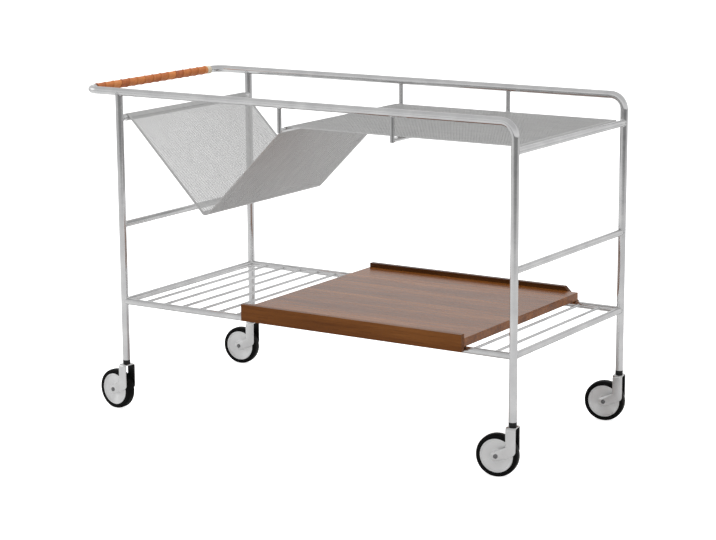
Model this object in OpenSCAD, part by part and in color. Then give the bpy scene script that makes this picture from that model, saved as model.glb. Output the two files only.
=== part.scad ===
// Serving trolley on casters: a bent tube frame with a leather-wrapped handle,
// a perforated sheet that forms a magazine pocket and a top shelf, and a loose
// wooden tray on a lower shelf of rods. X runs to the right, Y to the back and
// Z up. The origin is on the floor under the middle of the trolley.

/* [Frame] */
// Distance between the left and the right leg axes
leg_span_x = 825; // [700:5:950]
// Distance between the front and the back leg axes
leg_span_y = 408; // [360:2:460]
// Height of the top rail's axis above the floor
rail_z = 603; // [580:1:700]
// Distance of the handle's axis beyond the left legs
handle_out = 77; // [60:1:120]
// Outer diameter of the frame tube and the legs
tube_d = 14; // [13:0.5:16]
// Wall of the frame tube, the legs and the bars
tube_wall = 1.5; // [1.2:0.1:1.8]
// Bend radius of the frame tube, to the tube's axis
bend_r = 26; // [22:1:45]
// Outer diameter of the crossbars and the lower shelf's bars
bar_d = 12; // [10:0.5:12.5]
// Depth of the upper crossbars' axes below the rail's axis
crossbar_drop = 49; // [44:1:60]
// Height of the side bars' axes above the floor
side_bar_z = 355; // [300:1:420]
// Height of the lower shelf's bars above the floor, to their axes
shelf_z = 210; // [160:1:250]
// Diameter of the short posts and of the two bars that they carry
post_d = 8; // [6:0.5:9]
// Place of the first pair of posts, from the left legs
fold_post_x = 357; // [320:1:400]
// Place of the second pair of posts, from the left legs
shelf_post_x = 589; // [520:1:640]
// Diameter of the lower shelf's rods
rod_d = 5; // [4:0.5:6]
// Number of equal spaces that the rods make
rod_spaces = 20; // [16:1:24]

/* [Sheet] */
// Thickness of the perforated sheet
sheet_t = 0.8; // [0.6:0.1:1.5]
// Distance of the sheet's sides from the leg axes
sheet_inset = 18; // [12:1:30]
// Depth of the pocket's fold below the crossbars' axes
pocket_depth = 168; // [120:1:180]
// Place of the pocket's fold, from the left legs
pocket_x = 177; // [150:1:200]
// Inner radius of the bend at the pocket's fold
fold_r = 8; // [1:0.5:12]
// Inner radius of the bend at the sheet's right edge
edge_r = 2; // [1:0.5:5]
// Height of the sheet's right edge, turned down against the last crossbar
sheet_edge_h = 9; // [7:0.5:11]
// Plain margin of the sheet along its sides and beside its bends
sheet_margin = 6; // [4:0.5:12]
// Width of the sheet's openings, from front to back
opening_w = 20; // [14:0.5:24]
// Length of the sheet's openings, along the sheet
opening_l = 26; // [16:0.5:30]
// Least width of the strips of metal left between the openings
opening_strip = 10; // [6:0.5:15]

/* [Grip] */
// Thickness of the leather round the handle
leather_t = 1.4; // [1:0.1:2]
// Bare tube left between the leather and each bend
grip_end = 1; // [0:1:20]

/* [Tray] */
// Length of the tray along the shelf
tray_l = 455; // [300:1:520]
// Distance of the tray's right end from the right legs
tray_end_gap = 90; // [40:1:150]
// Thickness of the tray's board
board_t = 15; // [10:0.5:18]
// Height of the tray's two side strips
lip_h = 30.5; // [26:0.5:40]
// Rise of the side strips above the board
lip_rise = 8; // [4:0.5:15]
// Thickness of the side strips
lip_t = 11; // [8:0.5:16]
// Thickness left at the tip of the back strip's slanted end
back_tip_h = 1.5; // [1:0.5:4]
// Gap between the tray and the bars that it rests on
tray_gap = 0.3; // [0.2:0.1:0.6]
// Side play between the side strips and the bars
tray_play = 1.2; // [0.6:0.1:2]

/* [Casters] */
// Diameter of the wheels over the tyre
wheel_d = 75; // [65:1:77]
// Width of the tyre
tyre_w = 19; // [16:0.5:22]
// Thickness of the tyre, from rim to tread
tyre_t = 8; // [4.5:0.5:9]
// Height of the leg ends above the floor
leg_end_z = 97; // [87:1:110]
// Height of the black collar between leg and fork
collar_h = 7.5; // [6:0.5:10]
// Width of the collar's rim under the leg's wall
collar_rim = 1.5; // [0.5:0.1:1.8]
// Trail: distance of the axle behind the swivel axis
trail = 26; // [20:1:30]
// Width of the fork's strap
strap_w = 18; // [16:0.5:20]
// Thickness of the fork's strap
strap_t = 2.2; // [1.8:0.1:3]
// Outer radius of the fork's upper corners
crown_r = 5; // [3.5:0.5:8]
// Height of the fork's knee above the axle
knee_rise = 11; // [6:1:16]
// Diameter of the swivel stem
stem_d = 8; // [6:0.5:8.5]
// Length of the insert inside the leg
insert_l = 30; // [20:1:40]
// Thickness of the stem's head above the insert
stem_head_h = 3; // [2:0.5:5]
// Diameter of the axle
axle_d = 6; // [5:0.5:7]
// Diameter of the axle's heads
axle_head_d = 8; // [7.5:0.5:12]
// Thickness of the axle's heads
axle_head_h = 2; // [1:0.5:3]
// Outer diameter of the hub's bush
bush_d = 10; // [9:0.5:12]
// Diameter of the wheel's hub
hub_d = 17; // [15:0.5:20]
// How far the hub stands proud of the tyre on each side
hub_proud = 0.8; // [0.4:0.1:2]
// Thickness of the disc at its hub
disc_hub_t = 8; // [6:0.5:10]
// Thickness of the disc at its rim
disc_rim_t = 13; // [11:0.5:14]
// Height of the rim's flange
flange_h = 3; // [2:0.5:5]
// How far the rim's flange stands back from the tyre's side
flange_inset = 1.2; // [0.5:0.1:2]
// Radius of the tyre's shoulders
shoulder_r = 5; // [3:0.5:7]
// Rest angle of the front left caster, in degrees
swivel_fl = -7; // [-15:1:15]
// Rest angle of the back left caster, in degrees
swivel_bl = 5; // [-15:1:15]
// Rest angle of the front right caster, in degrees
swivel_fr = 10; // [-15:1:15]
// Rest angle of the back right caster, in degrees
swivel_br = 10; // [-15:1:15]

/* [Fits] */
// Radial clearance of pins that turn in their holes
pin_gap = 0.05; // [0.02:0.01:0.1]
// Gap between faces that turn past each other
face_gap = 0.3; // [0.2:0.05:0.5]
// Gap between the wheel's hub and the fork on each side
hub_gap = 0.3; // [0.2:0.05:0.8]

/* [Hidden] */
$fn = 48;

tube_r = tube_d / 2;
post_r = post_d / 2;
bore_r = tube_r - tube_wall;
bar_r = bar_d / 2;
bar_bore_r = bar_r - tube_wall;
grip_r = tube_r + leather_t;

// Places of the legs, posts and bars in the trolley's own frame
left_x = (handle_out + grip_r - leg_span_x - tube_r) / 2;
right_x = left_x + leg_span_x;
front_y = -leg_span_y / 2;
back_y = leg_span_y / 2;
handle_x = left_x - handle_out;
crossbar_z = rail_z - crossbar_drop;
sheet_z = crossbar_z + bar_r;
post_bar_z = sheet_z - post_r;
fold_x = left_x + fold_post_x;
shelf_x = left_x + shelf_post_x;
rod_pitch = leg_span_x / rod_spaces;

// A cut runs this far past the solid that it cuts
past = 1;

// Colours
chrome = "#C9CBCC";
steel = "#B4B6B7";
leather = "#A5663F";
walnut = "#7A4A30";
black = "#1B1B1C";

// A straight round bar from point a to point b along one axis
module bar_x(x1, x2, y, z, r) {
    translate([x1, y, z]) rotate([0, 90, 0]) cylinder(r = r, h = x2 - x1);
}
module bar_y(x, y1, y2, z, r) {
    translate([x, y1, z]) rotate([-90, 0, 0]) cylinder(r = r, h = y2 - y1);
}
module bar_z(x, y, z1, z2, r) {
    translate([x, y, z1]) cylinder(r = r, h = z2 - z1);
}

// A quarter bend of the frame tube: from the -X side round to the -Y side,
// with the bend's centre at the origin
module quarter_bend(r) {
    rotate([0, 0, 180]) rotate_extrude(angle = 90) translate([bend_r, 0]) circle(r = r);
}

// The path of the frame tube, as a solid of radius r; legs run down to z_end
module loop_solid(r, z_end) {
    for (side = [-1, 1]) {
        bar_z(right_x, side * back_y, z_end, rail_z - bend_r, r);
        bar_x(handle_x + bend_r, right_x - bend_r, side * back_y, rail_z, r);
        translate([right_x - bend_r, side * back_y, rail_z - bend_r])
            rotate([-90, 0, 0]) rotate([0, 0, 90]) quarter_bend(r);
    }
    bar_y(handle_x, front_y + bend_r, back_y - bend_r, rail_z, r);
    translate([handle_x + bend_r, front_y + bend_r, rail_z]) quarter_bend(r);
    translate([handle_x + bend_r, back_y - bend_r, rail_z]) rotate([0, 0, -90]) quarter_bend(r);
}

module frame_loop() {
    color(chrome) difference() {
        loop_solid(tube_r, leg_end_z);
        loop_solid(bore_r, leg_end_z - past);
    }
}

// The rails as plain bars, for the notches in what is welded under them
module rail_cut() {
    for (y = [front_y, back_y]) bar_x(left_x - tube_d, shelf_x + tube_d, y, rail_z, tube_r);
}

// The four legs as plain bars, for the notches in what is welded between them
module leg_cut() {
    for (x = [left_x, right_x]) for (y = [front_y, back_y]) bar_z(x, y, 0, rail_z, tube_r);
}

module left_leg(y) {
    color(chrome) difference() {
        bar_z(left_x, y, leg_end_z, rail_z, tube_r);
        bar_z(left_x, y, leg_end_z - past, rail_z, bore_r);
        rail_cut();
    }
}

// A crossbar that is welded between two legs
module leg_crossbar(x, z) {
    color(chrome) difference() {
        bar_y(x, front_y, back_y, z, bar_r);
        bar_y(x, front_y - past, back_y + past, z, bar_bore_r);
        leg_cut();
    }
}

// A crossbar that ends at the two posts under the rails
module post_crossbar(x) {
    color(chrome) difference() {
        bar_y(x, front_y, back_y, post_bar_z, post_r);
        for (y = [front_y, back_y]) bar_z(x, y, 0, rail_z, post_r);
    }
}

module post(x, y) {
    color(chrome) difference() {
        bar_z(x, y, post_bar_z - post_r, rail_z, post_r);
        rail_cut();
    }
}

// A long bar of the lower shelf, between a left and a right leg
module shelf_long_bar(y) {
    color(chrome) difference() {
        bar_x(left_x, right_x, y, shelf_z, bar_r);
        bar_x(left_x - past, right_x + past, y, shelf_z, bar_bore_r);
        leg_cut();
    }
}

module shelf_rods() {
    color(chrome) difference() {
        for (i = [1 : rod_spaces - 1])
            bar_y(left_x + i * rod_pitch, front_y, back_y, shelf_z, rod_d / 2);
        for (y = [front_y, back_y]) bar_x(left_x, right_x, y, shelf_z, bar_r);
    }
}

// Points of an arc about c, from angle a1 to a2, in steps of about 12 degrees
function arc_points(c, r, a1, a2) =
    let (n = max(2, ceil(abs(a2 - a1) / 12)))
    [for (i = [0 : n]) let (a = a1 + (a2 - a1) * i / n) c + r * [cos(a), sin(a)]];

// The angle of the tangent line between two circles on its way from a to b;
// s is how far apart their sides lie along the line's left-hand normal
function tangent_angle(a, b, s) =
    let (d = b - a) atan2(d[1], d[0]) + asin(s / norm(d));

// The sheet's profile, in X and Z. It is rolled round the first crossbar,
// falls to the fold, rises to the second crossbar, bends over it, runs flat
// over the third and is turned down against the last one.
hem_c = [left_x, crossbar_z];
fold_out_r = fold_r + sheet_t;
edge_out_r = edge_r + sheet_t;
fold_c = [left_x + pocket_x, crossbar_z - pocket_depth + fold_out_r];
over_c = [fold_x, post_bar_z];
edge_c = [right_x - bar_r - edge_out_r, sheet_z - edge_r];
hem_turn = 300;
down_a = tangent_angle(hem_c, fold_c, -bar_r - fold_out_r);
up_a = tangent_angle(fold_c, over_c, fold_out_r + post_r);

// Points whose lines touch an arc from outside, so that a sheet bent round a bar
// lies on the bar and doesn't cut into it
function bent_points(c, r, a1, a2) =
    let (n = max(2, ceil(abs(a2 - a1) / 12)), step = (a2 - a1) / n)
    concat([c + r * [cos(a1), sin(a1)]],
        [for (i = [0 : n - 1]) let (a = a1 + step * (i + 0.5)) c + r / cos(step / 2) * [cos(a), sin(a)]],
        [c + r * [cos(a2), sin(a2)]]);

// One side of the profile: the inner radii give the lower side, and radii
// larger by the sheet's thickness the upper one, but for the fold
function sheet_side(hem_r, turn_r, over_r, tip_r) = concat(
    bent_points(hem_c, hem_r, down_a + 90 + hem_turn, down_a + 90),
    bent_points(fold_c, turn_r, down_a + 270, up_a + 270),
    bent_points(over_c, over_r, up_a + 90, 90),
    bent_points(edge_c, tip_r, 90, 0),
    [[edge_c[0] + tip_r, sheet_z - sheet_edge_h]]);

function reversed(v) = [for (i = [len(v) - 1 : -1 : 0]) v[i]];

// The openings of one flat panel, whose upper side runs from point a to point b in
// X and Z: a plain grid, as many each way as the strips let in, spread evenly
module panel_openings(a, b) {
    run = norm(b - a) - 2 * sheet_margin;
    width = leg_span_y - 2 * sheet_inset - 2 * sheet_margin;
    along = floor((run + opening_strip) / (opening_l + opening_strip));
    across = floor((width + opening_strip) / (opening_w + opening_strip));
    step_u = along > 1 ? (run - opening_l) / (along - 1) : 0;
    step_v = across > 1 ? (width - opening_w) / (across - 1) : 0;
    translate([a[0], 0, a[1]])
        rotate([0, -atan2(b[1] - a[1], b[0] - a[0]), 0])
            translate([sheet_margin, -width / 2, -sheet_t - past])
                linear_extrude(sheet_t + 2 * past)
                    for (i = [0 : along - 1]) for (j = [0 : across - 1])
                        translate([i * step_u, j * step_v]) square([opening_l, opening_w]);
}

// The end of an arc about c at angle a, where a flat panel begins or ends
function arc_end(c, r, a) = c + r * [cos(a), sin(a)];

module mesh_sheet() {
    color(steel) difference() {
        translate([0, back_y - sheet_inset, 0])
            rotate([90, 0, 0])
                linear_extrude(leg_span_y - 2 * sheet_inset)
                    polygon(concat(
                        sheet_side(bar_r + sheet_t, fold_r, post_r + sheet_t, edge_out_r),
                        reversed(sheet_side(bar_r, fold_out_r, post_r, edge_r))));
        panel_openings(arc_end(hem_c, bar_r + sheet_t, down_a + 90), arc_end(fold_c, fold_r, down_a + 270));
        panel_openings(arc_end(fold_c, fold_r, up_a + 270), arc_end(over_c, post_r + sheet_t, up_a + 90));
        panel_openings(arc_end(over_c, post_r + sheet_t, 90), arc_end(edge_c, edge_out_r, 90));
    }
}

module leather_grip() {
    color(leather) difference() {
        bar_y(handle_x, front_y + bend_r + grip_end, back_y - bend_r - grip_end, rail_z, grip_r);
        bar_y(handle_x, front_y, back_y, rail_z, tube_r);
    }
}

// The tray
tray_right_x = right_x - tray_end_gap;
tray_left_x = tray_right_x - tray_l;
board_z = shelf_z + bar_r + tray_gap;
board_top_z = board_z + board_t;
lip_top_z = board_top_z + lip_rise;
lip_low_z = lip_top_z - lip_h;
lip_in_y = back_y + bar_r + tray_play;

module tray_board() {
    color(walnut) translate([tray_left_x, -lip_in_y, board_z]) cube([tray_l, 2 * lip_in_y, board_t]);
}

module tray_lip_front() {
    color(walnut) translate([tray_left_x, -lip_in_y - lip_t, lip_low_z]) cube([tray_l, lip_t, lip_h]);
}

// The back strip's right end slants down to a thin tip
module tray_lip_back() {
    color(walnut) translate([0, lip_in_y + lip_t, 0]) rotate([90, 0, 0])
        linear_extrude(lip_t) polygon([
            [tray_left_x, lip_low_z],
            [tray_right_x, lip_low_z],
            [tray_right_x, lip_low_z + back_tip_h],
            [tray_right_x - lip_h + back_tip_h, lip_top_z],
            [tray_left_x, lip_top_z]]);
}

// The casters, drawn with the stem on the Z axis and the wheel trailing to -X
wheel_r = wheel_d / 2;
rim_r = wheel_r - tyre_t;
collar_z = leg_end_z - collar_h;
crown_z = collar_z - face_gap;
stem_r = stem_d / 2;
head_r = (stem_r + bore_r) / 2;
axle_r = axle_d / 2;
bush_r = bush_d / 2;
hub_r = hub_d / 2;
hub_l = tyre_w + 2 * hub_proud;
fork_in = hub_l + 2 * hub_gap;
fork_out = fork_in + 2 * strap_t;
strap_r = strap_w / 2;
knee_z = wheel_r + knee_rise;
flange_r = rim_r - flange_h;
flange_y = tyre_w / 2 - flange_inset;

// Places one caster's piece at its leg, turned to its rest angle
module at_caster(x, y, angle) {
    translate([x, y, 0]) rotate([0, 0, angle]) children();
}

// Places a piece that is drawn about the Z axis on the wheel's axis
module on_axle() {
    translate([-trail, 0, wheel_r]) rotate([90, 0, 0]) children();
}

module insert() {
    color(black) difference() {
        union() {
            bar_z(0, 0, collar_z, leg_end_z, bore_r + collar_rim);
            bar_z(0, 0, leg_end_z, leg_end_z + insert_l, bore_r);
        }
        bar_z(0, 0, collar_z - past, leg_end_z + insert_l + past, stem_r + pin_gap);
    }
}

module stem() {
    head_z = leg_end_z + insert_l + face_gap;
    color(steel) {
        bar_z(0, 0, crown_z - strap_t, head_z + stem_head_h, stem_r);
        bar_z(0, 0, head_z, head_z + stem_head_h, head_r);
    }
}

// The lower part of one cheek in side view, in X and Z: it runs down from the
// strap, turns at the knee and ends in a round eye at the axle
knee_c = [0, knee_z];
eye_c = [-trail, wheel_r];
arm_a = atan2(wheel_r - knee_z, -trail);
strap_low_z = knee_z + strap_r;
arm_up = [sin(arm_a), -cos(arm_a)];
arm_run = -strap_r * (1 + arm_up[0]) / cos(arm_a);
cheek_points = concat(
    [[-strap_r, strap_low_z], [strap_r, strap_low_z]],
    arc_points(knee_c, strap_r, 0, arm_a + 90),
    arc_points(eye_c, strap_r, arm_a + 90, arm_a - 90),
    [knee_c + strap_r * arm_up + arm_run * [cos(arm_a), sin(arm_a)]]);

// The strap's section across the wheel, in Y and Z: an upturned U
strap_points = let (o = fork_out / 2, i = fork_in / 2, c = o - crown_r, zc = crown_z - crown_r)
    concat(
        [[-i, strap_low_z], [-o, strap_low_z]],
        arc_points([-c, zc], crown_r, 180, 90),
        arc_points([c, zc], crown_r, 90, 0),
        [[o, strap_low_z], [i, strap_low_z]],
        arc_points([c, zc], crown_r - strap_t, 0, 90),
        arc_points([-c, zc], crown_r - strap_t, 90, 180));

module fork() {
    color(chrome) difference() {
        union() {
            translate([-strap_r, 0, 0]) rotate([90, 0, 90])
                linear_extrude(strap_w) polygon(strap_points);
            for (y = [fork_out / 2, -fork_in / 2])
                translate([0, y, 0]) rotate([90, 0, 0]) linear_extrude(strap_t) polygon(cheek_points);
        }
        bar_z(0, 0, crown_z - strap_t - past, crown_z + past, stem_r);
        on_axle() translate([0, 0, -fork_out]) cylinder(r = axle_r, h = 2 * fork_out);
    }
}

module axle() {
    color(steel) on_axle() {
        translate([0, 0, -fork_out / 2]) cylinder(r = axle_r, h = fork_out);
        for (side = [0, 1]) mirror([0, 0, side])
            translate([0, 0, fork_out / 2]) cylinder(r = axle_head_d / 2, h = axle_head_h);
    }
}

// The wheel disc's section, from the bush outwards: hub, dished web and rim
module disc() {
    half = [
        [bush_r, hub_l / 2],
        [hub_r, hub_l / 2],
        [hub_r, disc_hub_t / 2],
        [flange_r, disc_rim_t / 2],
        [flange_r, flange_y],
        [rim_r, flange_y]];
    other_half = [for (p = reversed(half)) [p[0], -p[1]]];
    color(chrome) on_axle() rotate_extrude($fn = 96) polygon(concat(half, other_half));
}

module bush() {
    color(steel) on_axle() difference() {
        translate([0, 0, -hub_l / 2]) cylinder(r = bush_r, h = hub_l);
        translate([0, 0, -hub_l]) cylinder(r = axle_r + pin_gap, h = 2 * hub_l);
    }
}

module tyre() {
    color(black) on_axle() rotate_extrude($fn = 96) intersection() {
        translate([rim_r, -tyre_w / 2]) square([tyre_t, tyre_w]);
        union() {
            translate([rim_r, shoulder_r - tyre_w / 2]) square([tyre_t, tyre_w - 2 * shoulder_r]);
            for (side = [-1, 1])
                translate([wheel_r - shoulder_r, side * (tyre_w / 2 - shoulder_r)]) circle(r = shoulder_r);
        }
    }
}

frame_loop();
left_leg(front_y);  // left_leg_front
left_leg(back_y);  // left_leg_back
leg_crossbar(left_x, crossbar_z);  // crossbar_pocket
post_crossbar(fold_x);  // crossbar_fold
post_crossbar(shelf_x);  // crossbar_shelf
leg_crossbar(right_x, crossbar_z);  // crossbar_end
post(fold_x, front_y);  // post_fold_front
post(fold_x, back_y);  // post_fold_back
post(shelf_x, front_y);  // post_shelf_front
post(shelf_x, back_y);  // post_shelf_back
leg_crossbar(left_x, side_bar_z);  // side_bar_left
leg_crossbar(right_x, side_bar_z);  // side_bar_right
shelf_long_bar(front_y);  // shelf_bar_front
shelf_long_bar(back_y);  // shelf_bar_back
leg_crossbar(left_x, shelf_z);  // shelf_bar_left
leg_crossbar(right_x, shelf_z);  // shelf_bar_right
shelf_rods();
mesh_sheet();
leather_grip();
tray_board();
tray_lip_front();
tray_lip_back();

corners = [["front_left", left_x, front_y, swivel_fl], ["back_left", left_x, back_y, swivel_bl],
    ["front_right", right_x, front_y, swivel_fr], ["back_right", right_x, back_y, swivel_br]];
for (c = corners) at_caster(c[1], c[2], c[3]) {
    insert();
    stem();
    fork();
    axle();
    disc();
    bush();
    tyre();
}
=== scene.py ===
import bpy
import numpy as np
from mathutils import Matrix, Vector


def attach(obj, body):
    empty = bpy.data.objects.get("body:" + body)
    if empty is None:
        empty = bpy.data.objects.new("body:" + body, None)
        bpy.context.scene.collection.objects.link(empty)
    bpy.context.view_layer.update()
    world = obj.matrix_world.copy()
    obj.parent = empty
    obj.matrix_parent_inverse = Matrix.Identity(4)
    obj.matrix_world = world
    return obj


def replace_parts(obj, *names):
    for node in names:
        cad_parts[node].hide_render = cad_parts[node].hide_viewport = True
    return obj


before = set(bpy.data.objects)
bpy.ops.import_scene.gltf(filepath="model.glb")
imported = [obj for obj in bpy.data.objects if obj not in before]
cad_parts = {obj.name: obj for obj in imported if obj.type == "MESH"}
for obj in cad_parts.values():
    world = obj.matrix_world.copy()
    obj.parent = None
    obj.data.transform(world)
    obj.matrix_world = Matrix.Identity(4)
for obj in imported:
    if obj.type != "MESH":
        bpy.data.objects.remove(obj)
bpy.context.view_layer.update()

# The view. The trolley is seen at three quarters from a little above its handle, through
# a long lens, as in a catalogue. The camera stands level but for a third of a degree.
azimuth, elevation, roll = np.radians([32.675, 11.749, -0.354])
look_at = np.array([0.0170, -0.0040, 0.27503])
view_distance = 3.91105
camera_back = np.array([np.sin(azimuth) * np.cos(elevation),
                        -np.cos(azimuth) * np.cos(elevation), np.sin(elevation)])
level_right = np.cross(-camera_back, [0, 0, 1])
level_right /= np.linalg.norm(level_right)
level_up = np.cross(level_right, -camera_back)
camera_right = level_right * np.cos(roll) + level_up * np.sin(roll)
camera_up = level_up * np.cos(roll) - level_right * np.sin(roll)
camera_at = look_at + camera_back * view_distance
camera = bpy.data.objects.new("camera", bpy.data.cameras.new("camera"))
camera.data.sensor_width = 36
camera.data.lens = 106.53
camera.matrix_world = Matrix([[*row] for row in np.vstack(
    [np.column_stack([camera_right, camera_up, camera_back, camera_at]), [0, 0, 0, 1]])])
bpy.context.scene.collection.objects.link(camera)
bpy.context.scene.camera = camera
bpy.context.scene.view_settings.view_transform = "Standard"


# The chromed tube frame. One long steel tube, 14 mm in diameter, is bent over a former
# four times: it makes both right legs, both rails and the handle's crossbar, and it is
# polished and chromed after the welding.
LEFT_X, RIGHT_X, HANDLE_X = -0.3733, 0.4517, -0.4503
LEG_Y, RAIL_Z, LEG_END_Z = 0.204, 0.603, 0.097
TUBE_R, TUBE_WALL, BEND_R = 0.007, 0.0015, 0.026
AROUND = 48


def colour(red, green, blue):
    """The linear colour of an sRGB one given from 0 to 255: each part above its foot is a power of 2.4."""
    share = np.array([red, green, blue]) / 255
    linear = np.where(share <= 0.04045, share / 12.92, ((share + 0.055) / 1.055) ** 2.4)
    return (*linear.tolist(), 1.0)


def node(mat, kind, inputs=(), **settings):
    """One shader node. Inputs maps its sockets to plain values or to the outputs that feed them."""
    made = mat.node_tree.nodes.new("ShaderNode" + kind)
    for key, value in settings.items():
        setattr(made, key, value)
    for key, value in dict(inputs).items():
        if isinstance(value, bpy.types.NodeSocket):
            mat.node_tree.links.new(value, made.inputs[key])
        else:
            made.inputs[key].default_value = value
    return made


def ramp(mat, factor, stops):
    """A colour ramp: stops are pairs of a place from 0 to 1 and a linear colour."""
    made = node(mat, "ValToRGB", {0: factor})
    elements = made.color_ramp.elements
    while len(elements) < len(stops):
        elements.new(0.5)
    for element, (place, value) in zip(elements, stops):
        element.position = place
        element.color = value
    return made.outputs["Color"]


def finish_of(name, base, roughness, bump=None, bump_depth=0.0, **sockets):
    """A material whose colour and roughness come from nodes. Each of the two, and the bump, is a function
    of the new material that gives an output; the uniform values go on the shader's own sockets."""
    mat = bpy.data.materials.new(name)
    mat.use_nodes = True
    shader = mat.node_tree.nodes["Principled BSDF"]
    for key, value in sockets.items():
        shader.inputs[key.replace("_", " ")].default_value = value
    link = mat.node_tree.links.new
    link(base(mat), shader.inputs["Base Color"])
    link(roughness(mat), shader.inputs["Roughness"])
    if bump:
        relief = node(mat, "Bump", {"Height": bump(mat), "Distance": bump_depth, "Strength": 1.0})
        link(relief.outputs["Normal"], shader.inputs["Normal"])
    return mat


def noise(mat, scale, detail=2.0, stretch=(1, 1, 1), rough=0.5, twist=0.0, turn=(0, 0, 0), uv=False):
    """Fractal noise on the piece's own place in metres, or on its UV map: scale is in cells per metre,
    and stretch multiplies it along each axis."""
    place = node(mat, "TexCoord").outputs["UV" if uv else "Object"]
    place = node(mat, "Mapping", {"Vector": place, "Scale": stretch, "Rotation": turn}).outputs["Vector"]
    made = node(mat, "TexNoise", {"Vector": place, "Scale": scale, "Detail": detail,
                                  "Roughness": rough, "Distortion": twist})
    return made.outputs["Fac"]


def spread(mat, factor, low, high, start=0.0, end=1.0):
    """The factor's stretch from start to end, mapped in a straight line to low and high."""
    return node(mat, "MapRange", {"Value": factor, "From Min": start, "From Max": end,
                                  "To Min": low, "To Max": high}).outputs["Result"]


def chrome_finish(name, dark, light, rough_low, rough_high):
    """Bright plating: faint clouding of the tint, wiping marks in the gloss and the slight waviness
    that polished tube keeps."""
    return finish_of(
        name,
        lambda m: ramp(m, noise(m, 30, 3), [(0.3, dark), (0.7, light)]),
        lambda m: spread(m, noise(m, 90, 4, rough=0.6), rough_low, rough_high, 0.3, 0.75),
        lambda m: noise(m, 110, 2), 0.00005, Metallic=1.0)


chrome = chrome_finish("chrome_tube", colour(206, 206, 207), colour(222, 222, 222), 0.06, 0.15)


def grid_faces(rows, columns, round_rows=False, round_columns=False):
    """Quads between neighbouring points of a grid. A direction that goes round joins its last line to
    its first."""
    i, j = np.meshgrid(np.arange(rows - (not round_rows)), np.arange(columns - (not round_columns)),
                       indexing="ij")
    low, high = i * columns, (i + 1) % rows * columns
    right = (j + 1) % columns
    return np.stack([low + j, high + j, high + right, low + right], -1).reshape(-1, 4)


def shell(points, *faces, uv=None):
    """One closed surface, its faces turned outwards: they are turned round where the volume that they
    enclose comes out negative. UV gives one pair for each corner of each face."""
    points = np.asarray(points, float).reshape(-1, 3)
    six_volumes = sum(np.einsum("ij,ij->", points[f[:, 0]], np.cross(points[f[:, k]], points[f[:, k + 1]]))
                      for f in faces for k in range(1, f.shape[1] - 1))
    if six_volumes < 0:
        faces = [f[:, ::-1] for f in faces]
        uv = uv if uv is None else uv[:, ::-1]
    return points, list(faces), uv


def make_piece(name, shells, material, body, nodes=(), crease=38):
    """A mesh object from closed surfaces, with its place in its vertices. Edges sharper than the crease
    angle stay crisp and the rest is smooth."""
    starts = np.cumsum([0] + [len(points) for points, _, _ in shells])
    faces = [(f + start).tolist() for (_, group, _), start in zip(shells, starts) for f in group]
    mesh = bpy.data.meshes.new(name)
    mesh.from_pydata(np.concatenate([points for points, _, _ in shells]), [], sum(faces, []))
    mesh.shade_smooth()
    mesh.set_sharp_from_angle(angle=np.radians(crease))
    if shells[0][2] is not None:
        layer = mesh.uv_layers.new(name="UVMap")
        layer.uv.foreach_set("vector", np.concatenate([uv.ravel() for _, _, uv in shells]))
    mesh.materials.append(material)
    piece = bpy.data.objects.new(name, mesh)
    bpy.context.scene.collection.objects.link(piece)
    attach(piece, body)
    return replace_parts(piece, *nodes) if nodes else piece


ANGLES = np.arange(AROUND) * 2 * np.pi / AROUND


def hollow_tube(path, first, second, outer, inner):
    """A tube with a wall: a circle of the outer radius is carried along the path, and one of the inner
    radius back along it, which closes both ends with a ring."""
    around = np.cos(ANGLES)[:, None] * first[:, None] + np.sin(ANGLES)[:, None] * second[:, None]
    skin = path[:, None] + outer * around
    bore = (path[:, None] + inner * around)[::-1]
    points = np.concatenate([skin, bore])
    return shell(points, grid_faces(len(points), AROUND, True, True))


def stations(start, end, count):
    """Evenly spaced points from start to end."""
    return np.linspace(start, end, count)


def bend(centre, start, end, count=17):
    """A quarter circle about the centre: the start arm fades with the cosine and the end arm grows with
    the sine."""
    turn = np.linspace(0, np.pi / 2, count)[:, None]
    return np.array(centre) + np.cos(turn) * np.array(start) + np.sin(turn) * np.array(end)


top_z, rail_y = RAIL_Z - BEND_R, LEG_Y - BEND_R
half_path = np.concatenate([
    stations([RIGHT_X, -LEG_Y, LEG_END_Z], [RIGHT_X, -LEG_Y, top_z - 0.001], 12),
    bend([RIGHT_X - BEND_R, -LEG_Y, top_z], [BEND_R, 0, 0], [0, 0, BEND_R]),
    stations([RIGHT_X - BEND_R - 0.001, -LEG_Y, RAIL_Z], [HANDLE_X + BEND_R + 0.001, -LEG_Y, RAIL_Z], 16),
    bend([HANDLE_X + BEND_R, -rail_y, RAIL_Z], [0, -BEND_R, 0], [-BEND_R, 0, 0]),
    stations([HANDLE_X, -rail_y + 0.001, RAIL_Z], [HANDLE_X, -0.001, RAIL_Z], 6)])
loop_path = np.concatenate([half_path, half_path[::-1] * [1, -1, 1]])
heading = np.gradient(loop_path, axis=0)
heading /= np.linalg.norm(heading, axis=1, keepdims=True)
level = np.abs(heading[:, 2:]) < 1e-6
hand = np.where(loop_path[:, 1:2] < 0, 1.0, -1.0)
second = np.where(level, [[0, 0, -1.0]], np.cross(heading, hand * [[0, 1.0, 0]]))
second /= np.linalg.norm(second, axis=1, keepdims=True)
first = np.cross(second, heading)
make_piece("frame_tube", [hollow_tube(loop_path, first, second, TUBE_R, TUBE_R - TUBE_WALL)],
           chrome, "frame", ["frame_loop"])


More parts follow.
